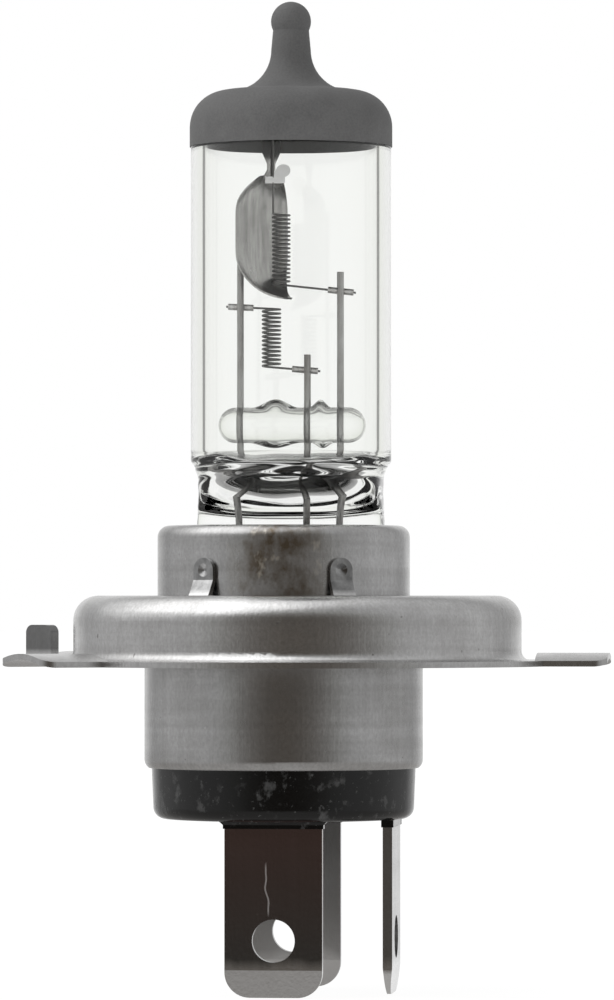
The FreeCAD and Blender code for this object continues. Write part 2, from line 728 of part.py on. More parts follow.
# ---------------------------------------------------------------- cap


def ring_profile(size):
    """Half section of the drawn ring: top plate, corner, pilot wall, foot and flange."""
    wall, gauge = size.ring_radius, size.ring_sheet
    top, corner, foot = size.ring_height, size.ring_corner, size.ring_foot
    return [
        (size.ring_hole - 2.0, top - gauge),
        (wall - corner, top - gauge, -(corner - gauge)),
        (wall - gauge, top - corner),
        (wall - gauge, foot, foot + gauge),
        (wall + foot, -gauge),
        (size.flange_radius, -gauge),
        (size.flange_radius, 0.0),
        (wall + foot, 0.0, -foot),
        (wall, foot),
        (wall, top - corner, corner),
        (wall - corner, top),
        (size.ring_hole - 2.0, top),
    ]


def lug(body, size, number, angle):
    """A lug pressed up out of the flange into a shallow arch, with rounded corners at its end."""
    half, rise, gauge = size.lug_width / 2, size.lug_rise, size.ring_sheet
    bend = (float(half) ** 2 + float(rise) ** 2) / (2 * float(rise))
    opened = facing_sketch(body, f"lug_opening_{number}", angle, size.lug_root)
    outline(opened, [(-half, -gauge), (half, -gauge), (half, 0.0), (-half, 0.0)])
    extrude(body, opened, f"lug_opened_{number}", size.flange_radius, cut=True, reverse=True)
    end_wall = facing_sketch(body, f"lug_root_{number}", angle, size.lug_root)
    outline(end_wall, [(-half, -gauge), (half, -gauge), (half, 0.0, bend), (-half, 0.0)])
    extrude(body, end_wall, f"lug_end_wall_{number}", gauge)
    arch = facing_sketch(body, f"lug_section_{number}", angle, size.lug_root + gauge)
    outline(arch, [(-half, -gauge, -bend), (half, -gauge), (half, 0.0, bend), (-half, 0.0)])
    extrude(body, arch, f"lug_{number}", size.lug_reach - size.lug_root - gauge)
    corners = sketch_on(body, f"lug_corners_{number}", "XY_Plane", angle)
    reach, corner = size.lug_reach, size.lug_corner
    over = 0.5
    for side in (1, -1):
        near, far = (half - corner) * side, half * side
        trim = [
            (reach, near, corner * side),
            (reach - corner, far),
            (reach - corner, (half + over) * side),
            (reach + over, (half + over) * side),
            (reach + over, near),
        ]
        outline(corners, trim)
    cut_through(body, corners, f"lug_trim_{number}")


def ear(body, size):
    """The ear: a strip that leaves the side of one lug and is bent upright."""
    gauge, top, corner = size.ring_sheet, size.ear_top, size.ear_corner
    inner, outer = size.lug_reach - size.ear_length, size.lug_reach
    near = size.lug_width / 2 + size.ear_gap
    far = near + size.ear_sheet
    root = size.lug_width / 2 - gauge
    section = facing_sketch(body, "ear_section", EAR_LUG, inner)
    bent_strip = [
        (root, -gauge),
        (far - gauge, -gauge, gauge),
        (far, 0.0),
        (far, top),
        (near, top),
        (near, 0.0),
        (root, 0.0),
    ]
    outline(section, bent_strip)
    extrude(body, section, "ear", size.ear_length)
    corners = sketch_on(body, "ear_corners", "XZ_Plane", EAR_LUG)
    over = top + gauge
    inner_corner = [
        (inner - gauge, over),
        (inner - gauge, top - corner),
        (inner, top - corner, -corner),
        (inner + corner, top),
        (inner + corner, over),
    ]
    outer_corner = [
        (outer + gauge, over),
        (outer - corner, over),
        (outer - corner, top, -corner),
        (outer, top - corner),
        (outer + gauge, top - corner),
    ]
    outline(corners, inner_corner)
    outline(corners, outer_corner)
    cut_through(body, corners, "ear_trim")


def weld_tab(body, size, number, angle):
    """A tab that leans in from the ring, bends at the shell and ends in a round welded head."""
    shell, gauge = size.upper_shell_radius, size.tab_sheet
    centre = size.shell_offset
    leg = sketch_on(body, f"tab_leg_{number}", "XZ_Plane", angle, (centre, 0.0, 0.0))
    foot = size.ring_height - size.ring_sheet / 2
    knee = size.ring_height + size.ring_sheet / 2
    side = [
        (shell, size.tab_head),
        (shell, size.tab_bend),
        (shell + size.tab_lean, knee),
        (shell + size.tab_lean, foot),
        (shell + size.tab_lean + gauge * 2, foot),
        (shell + size.tab_lean + gauge * 1.2, knee),
        (shell + gauge, size.tab_bend + gauge * 0.3),
        (shell + gauge, size.tab_head),
    ]
    outline(leg, side)
    extrude(body, leg, f"tab_leg_pad_{number}", size.tab_width, "Symmetric")
    head = facing_sketch(body, f"tab_head_{number}", angle, shell, centre)
    circle(head, 0.0, size.tab_head, size.tab_width / 2)
    extrude(body, head, f"tab_head_pad_{number}", gauge)
    dimple = sketch_on(body, f"tab_dimple_{number}", "XZ_Plane", angle, (centre, size.tab_head, 0.0))
    face, radius, depth = shell + gauge, size.dimple_radius, size.dimple_depth
    dish = [(face - depth, 0.0), (face + depth, 0.0), (face + depth, radius), (face, radius)]
    outline(dimple, dish)
    groove(body, dimple, f"tab_dimple_cut_{number}")


def flange_ring(size):
    """The drawn ring that locates the bulb, welded to the upper shell by four tabs."""
    body = new_body("flange_ring")
    profile = sketch_on(body, "ring_profile", "XZ_Plane")
    outline(profile, ring_profile(size))
    revolve(body, profile, "ring_turned")
    hole = sketch_on(body, "ring_hole", "XY_Plane", at=(0, 0, size.ring_height))
    circle(hole, size.shell_offset, 0.0, size.ring_hole)
    extrude(body, hole, "ring_hole_cut", 4 * size.ring_sheet, "Symmetric", cut=True)
    for number, angle in enumerate(LUG_ANGLES):
        lug(body, size, number, angle)
    ear(body, size)
    for number, angle in enumerate(WELD_TAB_ANGLES):
        weld_tab(body, size, number, angle)
    return keep(body, "flange_ring")


def upper_shell(size):
    """A drawn cup, open below, with a slot in its top for the pinch."""
    body = new_body("upper_shell")
    profile = sketch_on(body, "upper_profile", "XZ_Plane")
    wall, gauge, top = size.upper_shell_radius, size.shell_sheet, size.upper_shell_top
    corner = size.upper_shell_corner
    section = [
        (0.0, top - gauge),
        (wall - corner, top - gauge, -(corner - gauge)),
        (wall - gauge, top - corner),
        (wall - gauge, size.upper_shell_foot),
        (wall, size.upper_shell_foot),
        (wall, top - corner, corner),
        (wall - corner, top),
        (0.0, top),
    ]
    outline(profile, section)
    revolve(body, profile, "upper_turned")
    slot = sketch_on(body, "upper_slot", "XY_Plane", at=(0, 0, size.upper_shell_top))
    middle = size.glass_offset - size.shell_offset
    box_outline(slot, middle, Length(0.0, "0"), size.pinch_radius * 2 + 0.6, size.pinch_half * 2 + 0.6)
    extrude(body, slot, "upper_slot_cut", 4 * gauge, "Symmetric", cut=True)
    place(body, (size.shell_offset, 0, 0))
    return keep(body, "upper_shell")


def lower_shell(size):
    """The skirt round the upper shell and the insulator, rolled in at its foot."""
    body = new_body("lower_shell")
    profile = sketch_on(body, "lower_profile", "XZ_Plane")
    wall, gauge, top = size.lower_shell_radius, size.shell_sheet, size.lower_shell_top
    corner, roll = size.lower_shell_corner, size.roll_radius
    collar = size.upper_shell_radius + 0.05
    centre_r = wall - roll
    centre_z = size.lower_shell_foot + roll * sin(ROLL_SWEEP)
    inner_roll = roll - gauge
    section = [
        (collar, top - gauge),
        (wall - corner, top - gauge, -(corner - gauge)),
        (wall - gauge, top - corner),
        (wall - gauge, centre_z, -inner_roll),
        (centre_r + inner_roll * cos(ROLL_SWEEP), centre_z - inner_roll * sin(ROLL_SWEEP)),
        (centre_r + roll * cos(ROLL_SWEEP), centre_z - roll * sin(ROLL_SWEEP), roll),
        (wall, centre_z),
        (wall, top - corner, corner),
        (wall - corner, top),
        (collar, top),
    ]
    outline(profile, section)
    revolve(body, profile, "lower_turned")
    place(body, (size.shell_offset, 0, 0))
    return keep(body, "lower_shell")


def glass_clip(size):
    """A disc pressed into the upper shell, with fingers that grip the flats of the pinch."""
    body = new_body("glass_clip")
    disc = sketch_on(body, "clip_disc", "XY_Plane", at=(0, 0, size.clip_height))
    circle(disc, 0.0, 0.0, size.clip_radius)
    middle = size.glass_offset - size.shell_offset
    zero = Length(0.0, "0")
    box_outline(disc, middle, zero, size.pinch_radius * 2 + 0.2, size.pinch_half * 2)
    extrude(body, disc, "clip_plate", size.clip_sheet)
    fingers = sketch_on(body, "clip_fingers", "XY_Plane", at=(0, 0, size.clip_height))
    for side in (1, -1):
        for across in (-3.5, 3.5):
            line = (size.pinch_half + size.clip_sheet / 2) * side
            box_outline(fingers, middle + across, line, size.clip_sheet * 8, size.clip_sheet)
    extrude(body, fingers, "clip_finger_pads", size.clip_finger)
    place(body, (size.shell_offset, 0, 0))
    return keep(body, "glass_clip")


# ---------------------------------------------------------------- insulator and blades


def blade_places(size):
    """Each blade: its node, its angle about the shell axis and its distance from that axis."""
    return (
        ("ground_terminal", -90.0, size.side_blade_reach),
        ("low_beam_terminal", 0.0, size.single_blade_reach),
        ("high_beam_terminal", 90.0, size.side_blade_reach),
    )


def insulator_base(size):
    """The moulded base, hollow above for the wiring and slotted for the three blades."""
    body = new_body("insulator_base")
    profile = sketch_on(body, "base_profile", "XZ_Plane")
    seat_end = size.lower_shell_foot + 0.65
    section = [
        (0.0, size.base_foot),
        (size.base_foot_radius - size.base_corner, size.base_foot, size.base_corner),
        (size.base_foot_radius, size.base_foot + size.base_corner),
        (size.base_radius, seat_end - 0.3),
        (size.base_seat_radius, seat_end),
        (size.base_seat_radius, size.base_top),
        (size.base_cavity_radius, size.base_top),
        (size.base_cavity_radius, size.base_cavity_floor),
        (0.0, size.base_cavity_floor),
    ]
    outline(profile, section)
    revolve(body, profile, "base_turned")
    gauge, width, margin = size.blade_sheet, size.blade_width, size.boss_margin
    for number, (node, angle, reach) in enumerate(blade_places(size)):
        centre = (reach * cos(radians(angle)), reach * sin(radians(angle)), size.base_foot)
        boss = sketch_on(body, f"boss_{number}", "XY_Plane", angle, centre)
        zero = Length(0.0, "0")
        box_outline(boss, zero, zero, gauge + margin * 2, width + margin * 2)
        extrude(body, boss, f"boss_pad_{number}", size.boss_height, reverse=True)
        if angle:
            spread = margin + size.boss_flare
            flare = sketch_on(body, f"flare_{number}", "XY_Plane", angle, centre)
            box_outline(flare, zero, zero, gauge + spread * 2, width + spread * 2)
            slope = extrude(body, flare, f"flare_pad_{number}", size.boss_flare, reverse=True)
            slope.TaperAngle = -45
    for number, (node, angle, reach) in enumerate(blade_places(size)):
        centre = (reach * cos(radians(angle)), reach * sin(radians(angle)), 0.0)
        slot = sketch_on(body, f"slot_{number}", "XY_Plane", angle, centre)
        zero = Length(0.0, "0")
        box_outline(slot, zero, zero, gauge, width)
        cut_through(body, slot, f"slot_cut_{number}")
    place(body, (size.shell_offset, 0, 0))
    return keep(body, "insulator_base")


def terminal(size, node, angle, reach):
    """A flat blade: rounded, bevelled and holed at its free end, with a weld tongue at the other."""
    body = new_body(node)
    middle = size.shell_offset
    face = facing_sketch(body, node + "_face", angle, reach - size.blade_sheet / 2, middle)
    half, corner, neck = size.blade_width / 2, size.blade_corner, size.tongue_width / 2
    shoulder = size.base_cavity_floor
    side = [
        (corner - half, size.blade_end),
        (half - corner, size.blade_end, corner),
        (half, size.blade_end + corner),
        (half, shoulder),
        (neck, shoulder),
        (neck, size.tongue_top),
        (-neck, size.tongue_top),
        (-neck, shoulder),
        (-half, shoulder),
        (-half, size.blade_end + corner, corner),
    ]
    outline(face, side)
    circle(face, 0.0, size.blade_end + size.blade_hole_rise, size.blade_hole)
    extrude(body, face, node + "_blade", size.blade_sheet)
    bevel = sketch_on(body, node + "_bevel", "XZ_Plane", angle, (middle, 0.0, 0.0))
    inner, outer = reach - size.blade_sheet / 2, reach + size.blade_sheet / 2
    low, high = size.blade_end - 0.1, size.blade_end + size.blade_bevel_rise
    outline(bevel, [(outer - size.blade_bevel, low), (outer + 0.1, low), (outer, high)])
    outline(bevel, [(inner + size.blade_bevel, low), (inner, high), (inner - 0.1, low)])
    extrude(body, bevel, node + "_bevel_cut", CLEAR, "Symmetric", cut=True)
    return keep(body, node)


# ---------------------------------------------------------------- assembly and output


def check_document():
    """Stops if any object failed, or if a piece has no valid shape."""
    for item in document.Objects:
        if "Invalid" in item.State or "Error" in item.State:
            raise RuntimeError(f"{item.Name} failed: {item.State}")
    for item in nodes:
        if item.Shape.isNull() or not item.Shape.isValid():
            raise RuntimeError(f"{item.Label} has no valid shape")


def write_parts():
    os.makedirs("parts", exist_ok=True)
    for item in nodes:
        item.Shape.exportStep(f"parts/{item.Label}.step")
        box = item.Shape.BoundBox
        print(
            f"{item.Label:24s} solids {len(item.Shape.Solids)} volume {item.Shape.Volume:9.3f}"
            f"  x {box.XMin:7.2f} {box.XMax:7.2f}  y {box.YMin:7.2f} {box.YMax:7.2f}"
            f"  z {box.ZMin:7.2f} {box.ZMax:7.2f}"
        )


def main():
    size = fill_sheet()
    glass_envelope(size)
    glare_cap(size)
    glass_bridge(size)
    posts(size)
    lead_wires(size)
    filaments(size)
    shield(size)
    shield_clip(size)
    glass_clip(size)
    upper_shell(size)
    flange_ring(size)
    lower_shell(size)
    insulator_base(size)
    for node, angle, reach in blade_places(size):
        terminal(size, node, angle, reach)
    document.recompute()
    check_document()
    write_parts()


main()
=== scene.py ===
import json
import math

import bmesh
import bpy
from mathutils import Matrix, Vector, noise


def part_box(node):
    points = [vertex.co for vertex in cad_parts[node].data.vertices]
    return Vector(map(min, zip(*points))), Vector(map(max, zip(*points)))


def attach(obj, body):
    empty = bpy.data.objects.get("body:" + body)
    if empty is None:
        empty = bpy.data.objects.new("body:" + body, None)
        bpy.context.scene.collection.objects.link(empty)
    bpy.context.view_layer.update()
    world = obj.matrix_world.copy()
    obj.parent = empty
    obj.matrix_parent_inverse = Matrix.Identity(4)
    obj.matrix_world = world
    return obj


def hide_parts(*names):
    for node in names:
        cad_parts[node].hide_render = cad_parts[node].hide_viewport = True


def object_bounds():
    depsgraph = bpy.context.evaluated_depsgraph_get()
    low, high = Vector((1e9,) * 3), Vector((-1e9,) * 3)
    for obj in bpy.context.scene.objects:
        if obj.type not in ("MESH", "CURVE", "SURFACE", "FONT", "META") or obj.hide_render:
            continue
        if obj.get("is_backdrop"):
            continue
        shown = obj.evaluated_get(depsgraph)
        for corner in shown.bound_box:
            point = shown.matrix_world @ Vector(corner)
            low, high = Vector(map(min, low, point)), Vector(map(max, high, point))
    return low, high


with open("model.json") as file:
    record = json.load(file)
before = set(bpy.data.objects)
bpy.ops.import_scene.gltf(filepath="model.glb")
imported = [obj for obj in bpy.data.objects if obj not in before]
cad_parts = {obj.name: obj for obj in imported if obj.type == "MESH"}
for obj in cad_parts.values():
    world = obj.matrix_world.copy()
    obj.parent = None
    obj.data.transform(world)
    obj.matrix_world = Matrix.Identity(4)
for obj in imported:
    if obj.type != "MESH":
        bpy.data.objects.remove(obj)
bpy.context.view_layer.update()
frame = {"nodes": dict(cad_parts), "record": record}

# Looks for the headlight bulb, in metres and in the part's own frame: +Z to the glass tip,
# +X to the single blade. The CAD pieces stay and get materials. The glass tube and the glass
# bridge are rebuilt as smooth closed meshes without holes, so that light bends through them cleanly.
# The posts cross them as if the glass were fused round them.

MM = 0.001

# ---------------------------------------------------------------- sizes of the rebuilt glass, mm

TUBE_RADIUS = 8.5
TUBE_BORE = 7.3
SHOULDER_HEIGHT = 45.2
DOME_RADIUS = 3.0
FLARE_RADIUS = 3.6
NECK_RADIUS = 1.58
BALL_RADIUS = 1.6
BALL_START = -26  # degrees, where the ball of the tip leaves the neck
BALL_END = 89
COAT_GRIP = 0.03  # how far the glass reaches into the coating, so that the two faces never coincide
COAT_MARGIN = 0.05  # the reach starts this far above the coating's edge
COAT_FEATHER = 0.4  # and grows over this height
TIP_FLARE = 3.2  # radius where the cavity narrows into the tip
TIP_BORE = 0.5
TIP_CORNER = 0.3
TIP_CLOSE = 3.6  # how far the tip's cavity rises above the dome's
FLOOR_HEIGHT = 16.4  # the cavity's floor, at its rim
FLOOR_DIP = 0.9  # how much lower its middle is
FLOOR_BOWL = 2.4  # power of the bowl's curve: a higher one is flatter in the middle
FLOOR_CORNER = 1.4  # radius between floor and wall
FLOOR_UNEVEN = 0.1
PINCH_FOOT = 8.4
PINCH_HALF = 2.3  # half the thickness of the flat pinch
PINCH_SQUARENESS = 4.0  # how much the outline's power rises from a circle's towards a rectangle's
PRESS_TOP = 16.9  # the tube is round above this height
PRESS_FOOT = 12.3  # and flat below this one
PRESS_SAG = 0.5  # by this much lower in the middle of the pinch
WAIST = (  # height and half width of the pressed glass
    (PRESS_TOP, TUBE_RADIUS),
    (16.2, 8.1),
    (15.4, 7.78),
    (14.2, 7.72),
    (12.8, 7.84),
    (11.4, 7.9),
    (PINCH_FOOT, 7.9),
)
NEARLY_ZERO = 0.001  # radius of the last ring before a closed end

AROUND = 192  # points round the tube
WALL_STEPS = 40
ARC_STEPS = 24
INNER_ARC_STEPS = 16
PRESS_STEPS = 60

BRIDGE_RADIUS = 1.53
BRIDGE_HALF = 6.3
BRIDGE_HEIGHT = 19.9
BRIDGE_STEPS = 120
BRIDGE_AROUND = 96
BRIDGE_TIP = 0.02  # radius of its end rings, as a share of the rod's
SWELL_SHARPNESS = 5  # power that keeps a swelling narrow round the rod
BRIDGE_SWELLS = (  # place along the rod, half length, height, side: +1 above or -1 below
    (-1.35, 2.0, 0.72, 1),
    (2.45, 0.95, 0.66, 1),
    (-1.45, 2.3, 0.5, -1),
    (2.65, 1.0, 0.5, -1),
)

# ---------------------------------------------------------------- where finishes and painted light change, mm

SCRATCH_AT = -1.63  # X of the scratch on the front blade
SCRATCH_TOP = -16.7
SCRATCH_FOOT = -21.4
SCRATCH_HALF = 0.09
SCRATCH_WANDER = 0.45
FRONT_BLADE = -8.0  # Y; in front of it is only the front face of the front blade
FAR_BLADE = 7.5  # Y; only the far blade lies behind it
SINGLE_BLADE = 7.0  # X; only the single blade lies beyond it
BLADE_FADE = 0.2
FRONT_REFLECTION_FOOT = -25  # the front blade's painted brown reflection grows from here
FRONT_REFLECTION_TOP = -15
WORN_EDGE = -25  # the blades' ends are worn bright below about this height
EAR_DISTANCE = 21.4  # from the axis, beyond the flange
EAR_FOOT = 0.5
EDGE_FADE = 0.4
TAB_FOOT = 5.6
REFLECTION_AT = -0.6  # X of the painted reflection down the front of the upper shell
REFLECTION_HALF = 4.5
REFLECTION_FOOT = 4.5
REFLECTION_FRONT = -8  # Y
SCORCH_FOOT = 42.3  # the shield's tongue is scorched dark above this height

# ---------------------------------------------------------------- camera

VIEW_AZIMUTH = math.radians(5.6)
VIEW_DISTANCE = 545 * MM
VIEW_HEIGHT = 84.8 * MM  # height of the picture at the part's axis
EYE_HEIGHT = 5.1 * MM
AIM_HEIGHT = 13.58 * MM
AIM_ASIDE = 0.81 * MM
SENSOR = 36.0  # mm along the picture's long side


# ---------------------------------------------------------------- meshes


def smoothstep(share):
    """Eases from 0 to 1, level at both ends."""
    share = min(max(share, 0.0), 1.0)
    return share * share * (3 - 2 * share)


def along(pairs, height):
    """Reads a smooth curve through (height, value) pairs that run downwards."""
    for (top, above), (low, below) in zip(pairs, pairs[1:]):
        if height >= low:
            return below + (above - below) * smoothstep((height - low) / (top - low))
    return pairs[-1][1]


def arc(centre, radius, start, end, steps):
    """Points on an arc in a half section, angles in degrees."""
    points = []
    for step in range(steps + 1):
        angle = math.radians(start + (end - start) * step / steps)
        points.append((centre[0] + radius * math.cos(angle), centre[1] + radius * math.sin(angle)))
    return points


def between(first, last, steps):
    """Evenly spaced points after first and up to last."""
    shares = [step / steps for step in range(1, steps + 1)]
    return [tuple(a + (b - a) * share for a, b in zip(first, last)) for share in shares]


def outer_profile():
    """Radius and height of the outside of the tube, from the top of the pinch to the tip."""
    flat = SHOULDER_HEIGHT + DOME_RADIUS
    turn = TUBE_RADIUS - DOME_RADIUS
    flare_top = flat + FLARE_RADIUS
    ball_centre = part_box("glass_envelope")[1].z / MM - BALL_RADIUS
    points = [(TUBE_RADIUS, PRESS_TOP)]
    points += between(points[-1], (TUBE_RADIUS, SHOULDER_HEIGHT), WALL_STEPS)
    points += arc((turn, SHOULDER_HEIGHT), DOME_RADIUS, 0, 90, ARC_STEPS)[1:]
    points += arc((NECK_RADIUS + FLARE_RADIUS, flare_top), FLARE_RADIUS, 270, 180, ARC_STEPS)
    points += arc((0, ball_centre), BALL_RADIUS, BALL_START, BALL_END, ARC_STEPS)
    return points


def bore_profile():
    """The cavity of the tube, from the middle of its floor up into the tip."""
    ceiling = SHOULDER_HEIGHT + DOME_RADIUS - (TUBE_RADIUS - TUBE_BORE)
    turn = TUBE_RADIUS - DOME_RADIUS
    corner = TUBE_BORE - FLOOR_CORNER
    flare_top = ceiling + TIP_FLARE
    points = []
    for step in range(ARC_STEPS + 1):
        share = step / ARC_STEPS
        sunk = FLOOR_DIP * (1 - share**FLOOR_BOWL)
        points.append((max(corner * share, NEARLY_ZERO), FLOOR_HEIGHT - sunk))
    points += arc((corner, FLOOR_HEIGHT + FLOOR_CORNER), FLOOR_CORNER, -90, 0, INNER_ARC_STEPS)[1:]
    points += between(points[-1], (TUBE_BORE, SHOULDER_HEIGHT), WALL_STEPS)
    points += arc((turn, SHOULDER_HEIGHT), TUBE_BORE - turn, 0, 90, INNER_ARC_STEPS)[1:]
    points += arc((TIP_BORE + TIP_FLARE, flare_top), TIP_FLARE, 270, 180, INNER_ARC_STEPS)
    points.append((TIP_BORE, flare_top))
    points.append((TIP_CORNER, flare_top + TIP_CORNER))
    points.append((NEARLY_ZERO, ceiling + TIP_CLOSE))
    return points


def ripple(x, y, z, size, depth):
    """A gentle fixed unevenness of hot-worked glass."""
    return depth * noise.noise(Vector((x, y, z)) / size)


def press_share(height):
    """How far the glass has opened out from the flat pinch to the round tube at a height."""
    return smoothstep((height - PRESS_FOOT) / (PRESS_TOP - PRESS_FOOT))


def press_depth(height):
    """Half the thickness of the glass at a height."""
    return PINCH_HALF + (TUBE_RADIUS - PINCH_HALF) * press_share(height)


def pressed_ring(height):
    """One ring of the outside where the tube is pressed into the pinch."""
    width = along(WAIST, height)
    share = press_share(height)
    depth = press_depth(height)
    power = 2.0 + PINCH_SQUARENESS * (1 - share)
    bulge = 4 * share * (1 - share)
    points = []
    for step in range(AROUND):
        angle = 2 * math.pi * step / AROUND
        x = width * math.copysign(abs(math.cos(angle)) ** (2 / power), math.cos(angle))
        y = depth * math.copysign(abs(math.sin(angle)) ** (2 / power), math.sin(angle))
        y *= press_depth(height + PRESS_SAG * (1 - (x / width) ** 2)) / depth
        gentle = ripple(x, y, height, 3.4, 0.02)
        strong = ripple(x * 0.6, y, height, 2.6, 0.05) * bulge
        points.append((x, y * (1 + gentle + strong), height))
    return points


def round_ring(radius, height, unevenness=0.0):
    """One ring of the tube or of its cavity; unevenness raises some of its points and lowers others."""
    points = []
    for step in range(AROUND):
        angle = 2 * math.pi * step / AROUND
        x, y = radius * math.cos(angle), radius * math.sin(angle)
        points.append((x, y, height + ripple(x, y, 0.0, 3.0, unevenness)))
    return points


def lathe(name, rings, centre, inward=False):
    """A closed mesh through rings of points, capped at both ends."""
    mesh = bmesh.new()
    rows = []
    for ring in rings:
        row = [mesh.verts.new((centre[0] + x * MM, centre[1] + y * MM, z * MM)) for x, y, z in ring]
        rows.append(row)
    for low, high in zip(rows, rows[1:]):
        for step in range(len(low)):
            after = (step + 1) % len(low)
            mesh.faces.new((low[step], low[after], high[after], high[step]))
    mesh.faces.new(list(reversed(rows[0])))
    mesh.faces.new(rows[-1])
    bmesh.ops.recalc_face_normals(mesh, faces=mesh.faces)
    if inward:
        bmesh.ops.reverse_faces(mesh, faces=mesh.faces)
    for face in mesh.faces:
        face.smooth = True
    data = bpy.data.meshes.new(name)
    mesh.to_mesh(data)
    mesh.free()
    return data


def linked(name, data):
    """A new object in the scene for a mesh, a camera or a light."""
    item = bpy.data.objects.new(name, data)
    bpy.context.scene.collection.objects.link(item)
    return item


def joined(name, first, second):
    """One object from two meshes."""
    mesh = bmesh.new()
    mesh.from_mesh(first)
    mesh.from_mesh(second)
    data = bpy.data.meshes.new(name)
    mesh.to_mesh(data)
    mesh.free()
    return linked(name, data)


def glass_tube():
    """The envelope: its outside with the pressed pinch, and the cavity inside it."""
    low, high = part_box("glass_envelope")
    centre = ((low.x + high.x) / 2, (low.y + high.y) / 2)
    coat_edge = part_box("glare_cap")[0].z / MM
    pressed = PRESS_TOP - PINCH_FOOT
    rings = [pressed_ring(PINCH_FOOT + pressed * step / PRESS_STEPS) for step in range(PRESS_STEPS)]
    for radius, height in outer_profile():
        grip = COAT_GRIP * smoothstep((height - coat_edge - COAT_MARGIN) / COAT_FEATHER)
        rings.append(round_ring(radius + grip, height))
    outside = lathe("tube_outside", rings, centre)
    cavity = []
    for radius, height in bore_profile():
        on_floor = height <= FLOOR_HEIGHT + 0.01
        uneven = FLOOR_UNEVEN * (1 - (radius / TUBE_BORE) ** 4) if on_floor else 0.0
        cavity.append(round_ring(radius, height, uneven))
    inside = lathe("tube_cavity", cavity, centre, inward=True)
    tube = joined("glass_tube", outside, inside)
    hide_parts("glass_envelope")
    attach(tube, "root")
    return tube


def bridge_radius(place, angle):
    """Radius of the bridge at a place along it, swollen above and below between its posts."""
    radius = BRIDGE_RADIUS
    for middle, half, height, side in BRIDGE_SWELLS:
        share = (place - middle) / half
        if abs(share) < 1:
            crown = max(math.sin(angle) * side, 0.0) ** SWELL_SHARPNESS
            radius += height * (0.5 + 0.5 * math.cos(math.pi * share)) * crown
    return radius


def bridge():
    """The fire-polished rod that holds the posts, as one closed mesh without the post holes."""
    low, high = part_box("glass_bridge")
    rings = []
    for step in range(BRIDGE_STEPS + 1):
        place = -BRIDGE_HALF * math.cos(math.pi * step / BRIDGE_STEPS)
        inset = max(abs(place) - (BRIDGE_HALF - BRIDGE_RADIUS), 0.0) / BRIDGE_RADIUS
        roundness = math.sqrt(max(1 - inset**2, BRIDGE_TIP**2))
        ring = []
        for part in range(BRIDGE_AROUND):
            angle = 2 * math.pi * part / BRIDGE_AROUND
            radius = bridge_radius(place, angle) * roundness
            ring.append((place, radius * math.cos(angle), radius * math.sin(angle)))
        rings.append(ring)
    data = lathe("bridge_rod", rings, ((low.x + high.x) / 2, 0))
    rod = linked("bridge_rod", data)
    rod.location.z = BRIDGE_HEIGHT * MM
    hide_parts("glass_bridge")
    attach(rod, "root")
    return rod


# ---------------------------------------------------------------- materials


class Tree:
    """A material's node tree, with short calls to add and join nodes."""

    def __init__(self, name):
        self.material = bpy.data.materials.new(name)
        self.material.use_nodes = True
        self.nodes = self.material.node_tree.nodes
        self.links = self.material.node_tree.links
        self.nodes.clear()
        self.output = self.add("ShaderNodeOutputMaterial")
        self.place = self.add("ShaderNodeTexCoord").outputs["Object"]

    def add(self, kind, **inputs):
        node = self.nodes.new(kind)
        for name, value in inputs.items():
            self.feed(node.inputs[name.replace("_", " ")], value)
        return node

    def feed(self, socket, value):
        if isinstance(value, bpy.types.NodeSocket):
            self.links.new(value, socket)
        else:
            socket.default_value = value

    def axes(self):
        """The place on the part as three separate numbers, in metres."""
        return self.add("ShaderNodeSeparateXYZ", Vector=self.place).outputs

    def scaled(self, x, y, z, shift):
        """The place on the part stretched by x, y and z; the shift moves one noise off another."""
        mapping = self.add("ShaderNodeMapping", Vector=self.place)
        mapping.inputs["Scale"].default_value = (x, y, z)
        mapping.inputs["Location"].default_value = (shift, shift * 0.7, shift * 1.3)
        return mapping.outputs["Vector"]

    def cloud(self, scale, detail=3.0, roughness=0.5, shift=0.0):
        """Noise from 0 to 1. scale is features per metre along X, Y and Z."""
        node = self.add("ShaderNodeTexNoise", Vector=self.scaled(*scale, shift), Scale=1.0)
        node.inputs["Detail"].default_value = detail
        node.inputs["Roughness"].default_value = roughness
        return node.outputs["Fac"]

    def spread(self, value, low, high, to_low=0.0, to_high=1.0):
        """Maps low..high of a value to to_low..to_high, clamped."""
        node = self.add("ShaderNodeMapRange", Value=value)
        node.inputs["From Min"].default_value = low
        node.inputs["From Max"].default_value = high
        node.inputs["To Min"].default_value = to_low
        node.inputs["To Max"].default_value = to_high
        return node.outputs["Result"]

    def blend(self, share, first, second):
        """The first colour where share is 0, the second where it is 1."""
        node = self.nodes.new("ShaderNodeMix")
        node.data_type = "RGBA"
        self.feed(node.inputs["Factor"], share)
        self.feed(node.inputs[6], first)
        self.feed(node.inputs[7], second)
        return node.outputs[2]

    def reckon(self, operation, first, second):
        node = self.nodes.new("ShaderNodeMath")
        node.operation = operation
        self.feed(node.inputs[0], first)
        self.feed(node.inputs[1], second)
        return node.outputs[0]

    def plus(self, first, second):
        return self.reckon("ADD", first, second)

    def minus(self, first, second):
        return self.reckon("SUBTRACT", first, second)

    def times(self, first, second):
        return self.reckon("MULTIPLY", first, second)

    def bump(self, height, strength, distance):
        node = self.add("ShaderNodeBump", Height=height)
        node.inputs["Strength"].default_value = strength
        node.inputs["Distance"].default_value = distance
        return node.outputs["Normal"]

    def finish(self, shader):
        self.links.new(shader.outputs[0], self.output.inputs["Surface"])
        return self.material


def grey(level, warmth=0.0):
    """A grey; warmth above 0 leans it towards orange."""
    return (level * (1 + warmth), level, level * (1 - warmth), 1.0)


